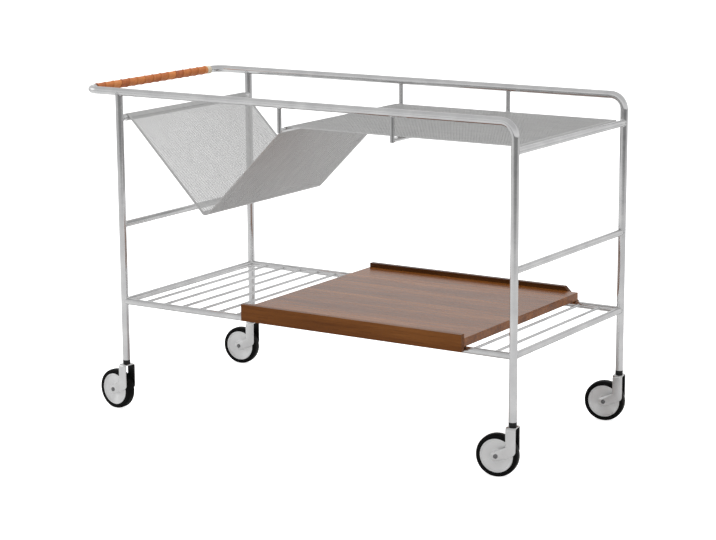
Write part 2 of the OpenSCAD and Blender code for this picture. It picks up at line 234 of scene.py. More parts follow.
# The welded bars. Left legs, crossbars, posts and the lower shelf's bars are cut to
# length, coped to the round of the tube that they meet, and brazed with a small smooth
# fillet, which the plating covers.
CROSSBAR_Z, SIDE_BAR_Z, SHELF_Z = 0.554, 0.355, 0.210
POST_BAR_Z, FOLD_X, SHELF_X = 0.556, -0.0163, 0.2157
BAR_R, POST_R, ROD_R = 0.006, 0.004, 0.0025
X, Y, Z = np.eye(3)


def coped_end(radius, tube_radius, angles):
    """How much shorter than its axis a bar is at each angle round it, where it meets a tube: the tube's
    half width at that place, from Pythagoras."""
    return np.sqrt(np.maximum(tube_radius ** 2 - (radius * np.sin(angles)) ** 2, 0))


def coped_bar(start, end, along_tube, radius, tube_radii, around=AROUND):
    """A round bar between the axes of two tubes that run along one direction. Its skin is a circle
    carried from one coped end to the other, and a fan closes each end inside the tube."""
    start, end = np.array(start), np.array(end)
    length = np.linalg.norm(end - start)
    axis = (end - start) / length
    side = np.cross(axis, along_tube)
    angles = np.arange(around) * 2 * np.pi / around
    share = np.linspace(0, 1, 9)[:, None]
    near = coped_end(radius, tube_radii[0], angles)
    far = length - coped_end(radius, tube_radii[1], angles)
    out = radius * (np.cos(angles)[:, None] * along_tube + np.sin(angles)[:, None] * side)
    skin = start + out + (near + (far - near) * share)[..., None] * axis
    points = np.vstack([skin.reshape(-1, 3), start + near.min() * axis, start + far.max() * axis])
    ring = np.arange(around)
    last, total = 8 * around, 9 * around
    turn = np.roll(ring, -1)
    return shell(points, grid_faces(9, around, False, True),
                 np.column_stack([ring, turn, np.full(around, total)]),
                 np.column_stack([last + turn, last + ring, np.full(around, total + 1)]))


def fillet(start, end, along_tube, radius, tube_radius, size, around=AROUND, section=8):
    """The brazed bead at the start of a bar: a small circle carried along the line where the bar's skin
    meets the tube's, with a slow ripple in its size."""
    start, end = np.array(start), np.array(end)
    axis = (end - start) / np.linalg.norm(end - start)
    side = np.cross(axis, along_tube)
    angles = np.arange(around) * 2 * np.pi / around
    out = np.cos(angles)[:, None] * along_tube + np.sin(angles)[:, None] * side
    line = start + radius * out + coped_end(radius, tube_radius, angles)[:, None] * axis
    bead = size * (1 + 0.08 * np.sin(11 * angles + 0.6) + 0.05 * np.sin(7 * angles))
    tilt = np.arange(section) * 2 * np.pi / section
    points = (line[:, None] + bead[:, None, None]
              * (np.cos(tilt)[:, None] * out[:, None] + np.sin(tilt)[:, None] * axis))
    return shell(points, grid_faces(around, section, True, True))


def welded_bar(name, start, end, along_tube, radius, tube_radii, bead=0.0011, ends=(0, 1)):
    """A coped bar and the beads at its welded ends."""
    line = [start, end]
    made = [coped_bar(start, end, along_tube, radius, tube_radii)]
    made += [fillet(line[e], line[1 - e], along_tube, radius, tube_radii[e], bead) for e in ends]
    return make_piece(name + "_tube", made, chrome, "frame", [name])


for side, y in (("front", -LEG_Y), ("back", LEG_Y)):
    # A left leg: open below, where the caster's insert goes in, and coped under the rail
    share = np.append(np.linspace(0, 1, 10), 1.0)[:, None]
    rise = RAIL_Z - LEG_END_Z - coped_end(TUBE_R, TUBE_R, ANGLES)
    bore_rise = RAIL_Z - LEG_END_Z - coped_end(TUBE_R - TUBE_WALL, TUBE_R, ANGLES)
    rounds = np.cos(ANGLES)[:, None] * X + np.sin(ANGLES)[:, None] * Y
    foot = np.array([LEFT_X, y, LEG_END_Z])
    skin = foot + TUBE_R * rounds + (share * rise)[..., None] * Z
    bore = foot + (TUBE_R - TUBE_WALL) * rounds + (share * bore_rise)[..., None] * Z
    leg = shell(np.concatenate([skin[:-1], bore[-2::-1]]), grid_faces(20, AROUND, True, True))
    bead = fillet([LEFT_X, y, RAIL_Z], [LEFT_X, y, 0], X, TUBE_R, TUBE_R, 0.0010)
    make_piece(f"left_leg_{side}_tube", [leg, bead], chrome, "frame",
               [f"left_leg_{side}"])
    for post, x in (("post_fold", FOLD_X), ("post_shelf", SHELF_X)):
        welded_bar(f"{post}_{side}", [x, y, RAIL_Z], [x, y, POST_BAR_Z - POST_R], X, POST_R,
                   [TUBE_R, 0], ends=(0,))
    # Its beads are ground low, because the tray slides up to the legs on it
    welded_bar(f"shelf_bar_{side}", [LEFT_X, y, SHELF_Z], [RIGHT_X, y, SHELF_Z], Z, BAR_R,
               [TUBE_R, TUBE_R], bead=0.00025)
for name, x, z in (("crossbar_pocket", LEFT_X, CROSSBAR_Z), ("crossbar_end", RIGHT_X, CROSSBAR_Z),
                   ("side_bar_left", LEFT_X, SIDE_BAR_Z), ("side_bar_right", RIGHT_X, SIDE_BAR_Z),
                   ("shelf_bar_left", LEFT_X, SHELF_Z), ("shelf_bar_right", RIGHT_X, SHELF_Z)):
    welded_bar(name, [x, -LEG_Y, z], [x, LEG_Y, z], Z, BAR_R, [TUBE_R, TUBE_R])
for name, x in (("crossbar_fold", FOLD_X), ("crossbar_shelf", SHELF_X)):
    welded_bar(name, [x, -LEG_Y, POST_BAR_Z], [x, LEG_Y, POST_BAR_Z], Z, POST_R, [POST_R, POST_R],
               bead=0.0007)


# The lower shelf's rods. Nineteen drawn wires, 5 mm thick, lie level between the front
# and back shelf bars and are resistance welded to them before plating.
ROD_SPACES = 20
rod_x = LEFT_X + np.arange(1, ROD_SPACES) * (RIGHT_X - LEFT_X) / ROD_SPACES
rods = []
for x in rod_x:
    front, back = [x, -LEG_Y, SHELF_Z], [x, LEG_Y, SHELF_Z]
    rods.append(coped_bar(front, back, X, ROD_R, [BAR_R, BAR_R], around=24))
    rods += [fillet(a, b, X, ROD_R, BAR_R, 0.0006, around=24, section=6)
             for a, b in ((front, back), (back, front))]
make_piece("shelf_rods_wire", rods, chrome, "frame", ["shelf_rods"])


# The perforated sheet. One blank of 0.8 mm nickelled steel is rolled round the left
# crossbar, falls to a tight fold that makes the magazine pocket, and lies flat over the
# other bars as the top shelf. Its margins and bends are left plain.
SHEET_T, SHEET_Y, MARGIN = 0.0008, 0.186, 0.006
POCKET_DEPTH, POCKET_RUN, FOLD_R, EDGE_R, EDGE_H, HEM_TURN = 0.168, 0.177, 0.008, 0.002, 0.009, 300
SHEET_Z = CROSSBAR_Z + BAR_R
fold_out_r = FOLD_R + SHEET_T
hem_c = np.array([LEFT_X, CROSSBAR_Z])
fold_c = np.array([LEFT_X + POCKET_RUN, CROSSBAR_Z - POCKET_DEPTH + fold_out_r])
over_c = np.array([FOLD_X, POST_BAR_Z])
edge_c = np.array([RIGHT_X - BAR_R - SHEET_T - EDGE_R, SHEET_Z - EDGE_R])


def tangent_angle(a, b, gap):
    """The direction of the line that touches two circles about a and b, whose sides lie gap apart."""
    run = b - a
    return np.degrees(np.arctan2(run[1], run[0]) + np.arcsin(gap / np.linalg.norm(run)))


def arc(centre, radius, start, end, count, hand=1.0):
    """Points of a circle in X and Z from one angle to another in degrees, and their normals, which
    point away from the centre, or towards it where hand is -1."""
    turn = np.radians(np.linspace(start, end, count))
    out = np.column_stack([np.cos(turn), np.sin(turn)])
    return np.hstack([centre + radius * out, hand * out])


down_a = tangent_angle(hem_c, fold_c, -BAR_R - fold_out_r)
up_a = tangent_angle(fold_c, over_c, fold_out_r + POST_R)
half_t = SHEET_T / 2
hem = arc(hem_c, BAR_R + half_t, down_a + 90 + HEM_TURN, down_a + 90, 49)
fold = arc(fold_c, FOLD_R + half_t, down_a + 270, up_a + 270, 17, -1.0)
over = arc(over_c, POST_R + half_t, up_a + 90, 90, 13)
edge = arc(edge_c, EDGE_R + half_t, 90, 0, 13)
tip = edge[-1] - [0, edge[-1, 1] - (SHEET_Z - EDGE_H), 0, 0]


def stepped(a, b, distance):
    """The point that lies a distance after a on the way to b, with a's normal."""
    run = (b - a)[:2]
    return np.append(a[:2] + run / np.linalg.norm(run) * distance, a[2:])


def strip(line, y1, y2):
    """A plain strip of the sheet: a flat bar's section, as wide as from y1 to y2, carried along a line
    of places and normals in X and Z."""
    place = np.column_stack([line[:, 0], np.zeros(len(line)), line[:, 1]])
    normal = np.column_stack([line[:, 2], np.zeros(len(line)), line[:, 3]])
    corners = [(y1, 1), (y2, 1), (y2, -1), (y1, -1)]
    points = np.stack([place + [0, y, 0] + half_t * s * normal for y, s in corners], 1)
    last = (len(line) - 1) * 4
    return shell(points, grid_faces(len(line), 4, False, True),
                 np.array([[0, 1, 2, 3], [last + 3, last + 2, last + 1, last]]))


whole = np.vstack([hem, fold, over, edge, tip])
plain = [strip(whole, *span) for span in ((-SHEET_Y, -SHEET_Y + MARGIN), (SHEET_Y - MARGIN, SHEET_Y))]
inner_y = SHEET_Y - MARGIN
bend_margin = 0.0035
for line in (np.vstack([hem, stepped(hem[-1], fold[0], MARGIN)]),
             np.vstack([stepped(fold[0], hem[-1], bend_margin), fold,
                        stepped(fold[-1], over[0], bend_margin)]),
             np.vstack([stepped(over[0], fold[-1], bend_margin), over,
                        stepped(over[-1], edge[0], bend_margin)]),
             np.vstack([stepped(edge[0], over[-1], bend_margin), edge, tip])):
    plain.append(strip(line, -inner_y, inner_y))


def nickel_finish(name):
    """Matt nickel on rolled steel: fine streaks along the sheet's length and a cloudy gloss."""
    return finish_of(
        name,
        lambda m: ramp(m, noise(m, 26, 4, stretch=(1, 4, 1)),
                       [(0.3, colour(191, 191, 191)), (0.7, colour(201, 201, 200))]),
        lambda m: spread(m, noise(m, 160, 3, stretch=(1, 6, 1)), 0.34, 0.46, 0.3, 0.7),
        lambda m: noise(m, 900, 2, stretch=(1, 5, 1)), 0.00002, Metallic=0.85)


nickel = nickel_finish("matt_nickel")
make_piece("sheet_plain_margins", plain, nickel, "frame", ["mesh_sheet"], crease=50)

HOLE_PITCH, HOLE_ACROSS = 0.0030, 0.00205
row_step = HOLE_PITCH * np.sqrt(3) / 2
panel_t = SHEET_T - 0.0001


def perforated(start, end, trim_start, trim_end, part, parts):
    """A flat perforated panel between two points of the sheet's line, or one part of it along its length.
    Hexagonal holes stand in staggered rows; a bar of metal joins the facing sides of each two neighbours,
    a small triangle fills each node between three, and a wall closes each free edge of the face."""
    run = (end - start)[:2]
    length = np.linalg.norm(run)
    along = np.array([run[0], 0, run[1]]) / length
    normal = np.array([start[2], 0, start[3]])
    rows = int(2 * (inner_y + 0.003) / row_step)
    count = int((length - trim_start - trim_end) / HOLE_PITCH)
    i, j = np.meshgrid(np.arange(count), np.arange(rows), indexing="ij")
    slack = (length - trim_start - trim_end - (count - 0.5) * HOLE_PITCH) / 2
    s = trim_start + slack + HOLE_PITCH * (i + 0.25 + 0.5 * (j % 2))
    t = row_step * (j - (rows - 1) / 2)
    corner = np.radians(30 + 60 * np.arange(6))
    reach = HOLE_ACROSS / np.sqrt(3)
    s = s[..., None] + reach * np.cos(corner)
    t = t[..., None] + reach * np.sin(corner)
    flat = (np.array([start[0], 0, start[1]]) + s[..., None] * along + t[..., None] * Y).reshape(-1, 3)

    def at(di, dj, k):
        """The number of corner k of the hole that lies di columns and dj rows on, or -1 outside."""
        ci, cj = i + di, j + dj
        own = (i >= count * part // parts) & (i < count * (part + 1) // parts)
        inside = own & (ci >= 0) & (ci < count) & (cj < rows)
        return np.where(inside, (ci * rows + cj) * 6 + k, -1)

    odd = j % 2
    bars = [np.stack(q, -1).reshape(-1, 4) for q in (
        (at(0, 0, 5), at(1, 0, 3), at(1, 0, 2), at(0, 0, 0)),
        (at(0, 0, 0), at(odd, 1, 4), at(odd, 1, 3), at(0, 0, 1)),
        (at(0, 0, 1), at(odd - 1, 1, 5), at(odd - 1, 1, 4), at(0, 0, 2)))]
    nodes = [np.stack(q, -1).reshape(-1, 3) for q in (
        (at(0, 0, 0), at(1, 0, 2), at(odd, 1, 4)),
        (at(0, 0, 1), at(odd, 1, 3), at(odd - 1, 1, 5)))]
    bars, nodes = (np.vstack(group) for group in (bars, nodes))
    bars, nodes = bars[bars.min(1) >= 0], nodes[nodes.min(1) >= 0]
    used, renumbered = np.unique(np.concatenate([bars.ravel(), nodes.ravel()]), return_inverse=True)
    bars, nodes = renumbered[:bars.size].reshape(-1, 4), renumbered[bars.size:].reshape(-1, 3)
    flat = flat[used]
    ways = np.concatenate([np.column_stack([f.ravel(), np.roll(f, -1, 1).ravel()]) for f in (bars, nodes)])
    key = ways.min(1) * len(flat) + ways.max(1)
    _, where, times = np.unique(key, return_index=True, return_counts=True)
    rim = ways[where[times == 1]]
    points = np.vstack([flat + panel_t / 2 * normal, flat - panel_t / 2 * normal])
    under = len(flat)
    walls = np.column_stack([rim[:, 1], rim[:, 0], rim[:, 0] + under, rim[:, 1] + under])
    return shell(points, bars, nodes, bars[:, ::-1] + under, nodes[:, ::-1] + under, walls)


overlap = 0.0015
for name, start, end, trim, parts in (
        ("sheet_pocket_left", hem[-1], fold[0], MARGIN - overlap, 2),
        ("sheet_pocket_right", fold[-1], over[0], bend_margin - overlap, 2),
        ("sheet_shelf", over[-1], edge[0], bend_margin - overlap, 4)):
    for part in range(parts):
        panel = perforated(start, end, trim, bend_margin - overlap, part, parts)
        make_piece(f"{name}_{part + 1}", [panel], nickel, "frame",
                   ["mesh_sheet"], crease=20)


# The leather grip. A strap of vegetable-tanned cowhide, 28 mm wide and 0.7 mm thick, is
# wound round the handle from one end to the other with each turn's edge lapped over the
# last, and glued. Handling has darkened it unevenly, and its last 12 mm at the back end are cream.
GRIP_Y, STRAP_T, STRAP_W, STRAP_PITCH, CREAM_END_W = 0.177, 0.00068, 0.0285, 0.0240, 0.012
per_turn = 60
turns = (2 * GRIP_Y + STRAP_W) / STRAP_PITCH
wind = np.linspace(0.03, turns - 0.03, int(turns * per_turn))
lead = -GRIP_Y + wind * STRAP_PITCH
trail_edge = np.maximum(lead - STRAP_W, -GRIP_Y)
lead_edge = np.minimum(lead, GRIP_Y)
# Across the strap: places from its lapped edge to its free edge, and heights in its thickness
across = np.array([0, 0.4, 1.4, 3, 4.5, 6, 8, 12, 16, 20, 24, 26.5, 27.7, 28.3, 28.5]) / 28.5
full = (1 - 0.55 * np.exp(-np.minimum(across, 1 - across) * STRAP_W / 0.0005))
across_loop = np.concatenate([across, across[::-1]])
upper = np.concatenate([np.ones(len(across)), np.zeros(len(across))]) > 0.5
width = (lead_edge - trail_edge)[:, None]
y = trail_edge[:, None] + across_loop * width
from_lap = y - (lead - STRAP_W)[:, None]
lap = np.clip((STRAP_W - STRAP_PITCH + 0.0016 - from_lap) / 0.0032, 0, 1)
lap = lap * lap * (3 - 2 * lap)
lap = lap * ((lead[:, None] - STRAP_W) > -GRIP_Y - STRAP_W + STRAP_PITCH)
fullness = np.concatenate([full, full[::-1]])
height = np.where(upper, STRAP_T * (0.5 + fullness / 2), STRAP_T * (0.5 - fullness / 2))
radius = TUBE_R + 0.00002 + height + lap * STRAP_T
spin = (wind * 2 * np.pi)[:, None] + 0 * y
points = np.stack([HANDLE_X + radius * np.cos(spin), y, RAIL_Z + radius * np.sin(spin)], -1)
rows, columns = y.shape
strap_faces = grid_faces(rows, columns, False, True)
i, j = np.meshgrid(np.arange(rows - 1), np.arange(columns), indexing="ij")
corners_i = np.stack([i, i + 1, i + 1, i], -1).reshape(-1, 4)
corners_j = np.stack([j, j, j + 1, j + 1], -1).reshape(-1, 4)
strap_uv = np.stack([wind[corners_i] * 2 * np.pi * TUBE_R,
                     np.append(across_loop, 0)[corners_j] * STRAP_W], -1)
half_columns = columns // 2
strap_caps = np.array([[a + k, a + k + 1, a + columns - 2 - k, a + columns - 1 - k]
                       for a in (0, (rows - 1) * columns) for k in range(half_columns - 1)])
strap_caps[half_columns - 1:] = strap_caps[half_columns - 1:, ::-1]
cap_uv = np.zeros((len(strap_caps), 4, 2))
strap = shell(points, strap_faces, strap_caps, uv=np.concatenate([strap_uv, cap_uv]))


def leather_base(mat):
    """Tan leather: its tone drifts along the strap, the edges are darker where hands and glue have
    stained them, and the last 12 mm at the back end are cream."""
    place = node(mat, "TexCoord").outputs["UV"]
    parts = node(mat, "SeparateXYZ", {0: place})
    along = noise(mat, 13, 2, stretch=(1, 0.25, 1), uv=True)
    patch = noise(mat, 90, 4, uv=True, rough=0.65)
    tone = node(mat, "Math", {0: spread(mat, along, 0.0, 0.72, 0.3, 0.7),
                              1: spread(mat, patch, 0, 0.28, 0.3, 0.7)}, operation="ADD").outputs[0]
    tan = ramp(mat, tone, [(0.0, colour(124, 58, 24)), (0.3, colour(180, 96, 44)),
                           (0.7, colour(214, 130, 66)), (1.0, colour(224, 152, 96))])
    from_edge = node(mat, "Math", {0: parts.outputs["Y"], 1: STRAP_W / 2}, operation="SUBTRACT").outputs[0]
    from_edge = node(mat, "Math", {0: from_edge}, operation="ABSOLUTE").outputs[0]
    worn = spread(mat, from_edge, 0.0, 0.25, STRAP_W / 2 - 0.0022, STRAP_W / 2 - 0.0002)
    tan = node(mat, "Mix", {"Factor": worn, "A": tan, "B": colour(84, 42, 22)},
               data_type="RGBA").outputs["Result"]
    from_front = node(mat, "SeparateXYZ", {0: node(mat, "TexCoord").outputs["Object"]}).outputs["Y"]
    # The last 12 mm at the back end turn cream.
    cream_end = spread(mat, from_front, 0.0, 1.0, GRIP_Y - CREAM_END_W - 0.0005, GRIP_Y - CREAM_END_W)
    return node(mat, "Mix", {"Factor": cream_end, "A": tan, "B": colour(226, 214, 190)},
                data_type="RGBA").outputs["Result"]


def leather_relief(mat):
    """Pebbled grain of half a millimetre, over the slow swell of a hand-pulled strap."""
    place = node(mat, "TexCoord").outputs["UV"]
    pebble = node(mat, "TexVoronoi", {"Vector": place, "Scale": 1700.0, "Randomness": 1.0},
                  feature="DISTANCE_TO_EDGE").outputs["Distance"]
    pebble = spread(mat, pebble, 0.0, 0.5, 0.0, 0.25)
    return node(mat, "Math", {0: pebble, 1: noise(mat, 260, 3, uv=True)}, operation="ADD").outputs[0]


leather = finish_of("grip_leather", leather_base,
                    lambda m: spread(m, noise(m, 300, 3, uv=True), 0.42, 0.66, 0.3, 0.7),
                    leather_relief, 0.00012, Specular_IOR_Level=0.45)
make_piece("leather_strap", [strap], leather, "frame", ["leather_grip"], crease=60)


# The tray. A walnut board lies across the shelf bars, and two strips glued along its long
# edges hang down outside the bars and keep it in line; the back strip's wood is darkened as
# painted shade. The wood is planed, oiled and rubbed, with its arrises eased.
TRAY_L, TRAY_RIGHT_X = 0.455, RIGHT_X - 0.090
TRAY_LEFT_X = TRAY_RIGHT_X - TRAY_L
BOARD_Z, BOARD_T, LIP_T, LIP_H, LIP_RISE, TIP_H = 0.2163, 0.015, 0.011, 0.0305, 0.008, 0.0015
LIP_IN_Y = LEG_Y + BAR_R + 0.0012
board_top = BOARD_Z + BOARD_T
lip_top = board_top + LIP_RISE
lip_low = lip_top - LIP_H


def plank(outline, y1, y2):
    """A piece of wood sawn to an outline in X and Z: the outline is carried from y1 to y2, and its
    first and last places are the two sawn faces."""
    outline = np.array(outline)
    count = len(outline)
    points = [np.column_stack([outline[:, 0], np.full(count, y), outline[:, 1]]) for y in (y1, y2)]
    return shell(np.concatenate(points), grid_faces(2, count, False, True),
                 np.arange(count)[None], count + np.arange(count)[None, ::-1])


def wood_finish(name, turn, shade, gloss):
    """Oiled walnut: slow bands of growth rings along the plank, fine dark pores drawn out along the
    grain, and a satin oil film over it. The shade multiplies the tones of the wood: above one it is
    painted light, below one painted shade. The gloss is the film's share."""
    def base(mat):
        bands = noise(mat, 9, 5, stretch=(0.22, 2.6, 2.6), rough=0.55, twist=0.5, turn=turn)
        streaks = noise(mat, 60, 5, stretch=(0.06, 2.2, 2.2), rough=0.6, turn=turn)
        tone = node(mat, "Math", {0: spread(mat, bands, 0, 0.6, 0.3, 0.7),
                                  1: spread(mat, streaks, 0, 0.4, 0.3, 0.7)}, operation="ADD").outputs[0]
        ground = ramp(mat, tone, [(place, colour(*(shade * np.array(wood)))) for place, wood in (
            (0.0, (86, 46, 16)), (0.3, (106, 59, 22)), (0.6, (126, 74, 29)), (1.0, (152, 95, 44)))])
        pores = noise(mat, 700, 3, stretch=(0.035, 1.0, 1.0), rough=0.7, turn=turn)
        return node(mat, "Mix", {"Factor": spread(mat, pores, 0.0, 0.40, 0.56, 0.70),
                                 "A": ground, "B": colour(60, 27, 12)}, data_type="RGBA").outputs["Result"]
    return finish_of(
        name, base,
        lambda m: spread(m, noise(m, 500, 4, stretch=(0.05, 1, 1)), 0.20, 0.28, 0.3, 0.7),
        lambda m: noise(m, 700, 3, stretch=(0.035, 1, 1), rough=0.7), 0.00003, Specular_IOR_Level=gloss)


# Lit and shaded copies of one walnut: the board is raised as painted light for its lit top, the front strip
# lowered as painted shade, and the back strip lowered further as painted shade.
board_walnut_painted_light = wood_finish("board_walnut_painted_light", (0.0, 0.012, 0.02), 1.14, 0.36)
strip_walnut_painted_shade = wood_finish("strip_walnut_painted_shade", (0.0, 0.012, 0.02), 0.92, 0.12)
back_walnut_painted_shade = wood_finish("back_walnut_painted_shade", (0.0, 0.02, 0.012), 0.74, 0.10)
for name, finish, outline, y1, y2 in (
        ("tray_board", board_walnut_painted_light, [(TRAY_LEFT_X, BOARD_Z), (TRAY_RIGHT_X, BOARD_Z),
                                      (TRAY_RIGHT_X, board_top), (TRAY_LEFT_X, board_top)],
         -LIP_IN_Y, LIP_IN_Y),
        ("tray_lip_front", strip_walnut_painted_shade, [(TRAY_LEFT_X, lip_low), (TRAY_RIGHT_X, lip_low),
                                          (TRAY_RIGHT_X, lip_top), (TRAY_LEFT_X, lip_top)],
         -LIP_IN_Y - LIP_T, -LIP_IN_Y),
        ("tray_lip_back", back_walnut_painted_shade, [(TRAY_LEFT_X, lip_low), (TRAY_RIGHT_X, lip_low),
                                        (TRAY_RIGHT_X, lip_low + TIP_H),
                                        (TRAY_RIGHT_X - LIP_H + TIP_H, lip_top), (TRAY_LEFT_X, lip_top)],
         LIP_IN_Y, LIP_IN_Y + LIP_T)):
    wood = make_piece(name + "_wood", [plank(outline, y1, y2)], finish, "tray", [name], crease=30)
    arris = wood.modifiers.new("eased_arrises", "BEVEL")
    arris.width, arris.segments, arris.limit_method = 0.0007, 3, "ANGLE"
    arris.harden_normals = True


# The casters. Four swivel casters follow behind their stems: a chromed strap fork with a thin
# black sheet on its inner face as painted shade, a spun aluminium disc with a plastic bush in its
# hub, a black rubber tyre, and a riveted axle. Each stem turns in a black insert that is pressed
# into the leg.
WHEEL_R, TYRE_W, TYRE_T, TRAIL = 0.0375, 0.019, 0.008, 0.026
COLLAR_Z, CROWN_Z, STRAP_HALF, FORK_T, CROWN_R = 0.0895, 0.0892, 0.009, 0.0022, 0.005
INSERT_H = 0.030
KNEE_Z, HUB_L, FORK_IN = WHEEL_R + 0.011, 0.0206, 0.0212
FORK_OUT = FORK_IN + 2 * FORK_T
RIM_R, BORE_R = WHEEL_R - TYRE_T, TUBE_R - TUBE_WALL
AXLE_AT = np.array([-TRAIL, 0, WHEEL_R])


def eased(outline, reach, steps=5):
    """A closed outline with round corners: each corner gives way to a parabola that leaves one side
    the reach before the corner and meets the next as far after it."""
    outline = np.array(outline, float)
    back, on = np.roll(outline, 1, 0) - outline, np.roll(outline, -1, 0) - outline
    back_l, on_l = (np.linalg.norm(v, axis=1, keepdims=True) for v in (back, on))
    reach = np.minimum(np.broadcast_to(np.reshape(reach, (-1, 1)), back_l.shape),
                       0.49 * np.minimum(back_l, on_l))
    a, b = outline + back / back_l * reach, outline + on / on_l * reach
    t = np.linspace(0, 1, steps)[:, None, None]
    return ((1 - t) ** 2 * a + 2 * t * (1 - t) * outline + t * t * b).transpose(1, 0, 2).reshape(-1, 2)


def turned(outline, centre, axis, around=96):
    """A closed outline of radii and places along the axis, turned round it. The UV map runs round the
    axis and then along the outline."""
    outline = np.asarray(outline)
    first = Z if abs(axis[2]) < 0.5 else X
    second = np.cross(axis, first)
    angles = np.arange(around) * 2 * np.pi / around
    out = np.cos(angles)[:, None] * first + np.sin(angles)[:, None] * second
    points = centre + outline[:, None, :1] * out + outline[:, None, 1:] * np.array(axis)
    count = len(outline)
    i, j = np.meshgrid(np.arange(count), np.arange(around), indexing="ij")
    lengths = np.linalg.norm(np.roll(outline, -1, 0) - outline, axis=1)
    run = np.append(0, np.cumsum(lengths))
    uv = np.stack([np.stack([j, j, j + 1, j + 1], -1).reshape(-1, 4) / around,
                   run[np.stack([i, i + 1, i + 1, i], -1).reshape(-1, 4)] * 10], -1)
    return shell(points, grid_faces(count, around, True, True), uv=uv)


def domed(radius, rise, centre, axis, around=48):
    """A rivet's head: a flat back, a short upright side and a dome whose height falls with the square
    of the distance from its middle."""
    share = np.linspace(1, 0.04, 10)
    outline = np.vstack([[[0.0002, 0]], [[radius * 0.96, 0]],
                         np.column_stack([radius * share, rise * (0.35 + 0.65 * (1 - share ** 2.2))])])
    return turned(outline, centre, axis, around)


def mirrored(half):
    """A section and its mirror image on the other side of the wheel's middle plane."""
    half = np.array(half)
    return np.vstack([half, half[::-1] * [1, -1]])


tyre_outline = eased(mirrored([(RIM_R, TYRE_W / 2 - 0.0006), (RIM_R + 0.0012, TYRE_W / 2),
                               (WHEEL_R - 0.0014, TYRE_W / 2 - 0.0004), (WHEEL_R, TYRE_W / 2 - 0.0050)]),
                     [0.0005, 0.0008, 0.0040, 0.0040] * 2, 7)
disc_outline = eased(mirrored([(0.005, HUB_L / 2), (0.0085, HUB_L / 2), (0.0092, 0.0046), (0.0125, 0.0040),
                               (RIM_R - 0.0065, 0.0060), (RIM_R - 0.0030, 0.0064), (RIM_R - 0.0024, 0.0083),
                               (RIM_R, 0.0083)]),
                     [0.0003, 0.0008, 0.0010, 0.0020, 0.0030, 0.0006, 0.0005, 0.0004] * 2)
bush_outline = eased([(0.00305, -HUB_L / 2), (0.005, -HUB_L / 2), (0.005, HUB_L / 2), (0.00305, HUB_L / 2)],
                     0.0003, 3)
insert_outline = eased([(0.00405, COLLAR_Z), (TUBE_R, COLLAR_Z), (TUBE_R, LEG_END_Z), (BORE_R, LEG_END_Z),
                        (BORE_R, LEG_END_Z + INSERT_H), (0.00405, LEG_END_Z + INSERT_H)],
                       [0.0002, 0.0008, 0.0003, 0.0001, 0.0008, 0.0002], 4)
stem_top = LEG_END_Z + INSERT_H + 0.0003
stem_outline = eased([(0.0001, CROWN_Z - FORK_T), (0.004, CROWN_Z - FORK_T), (0.004, stem_top),
                      (0.00475, stem_top), (0.00475, stem_top + 0.003), (0.0001, stem_top + 0.003)],
                     0.0002, 3)


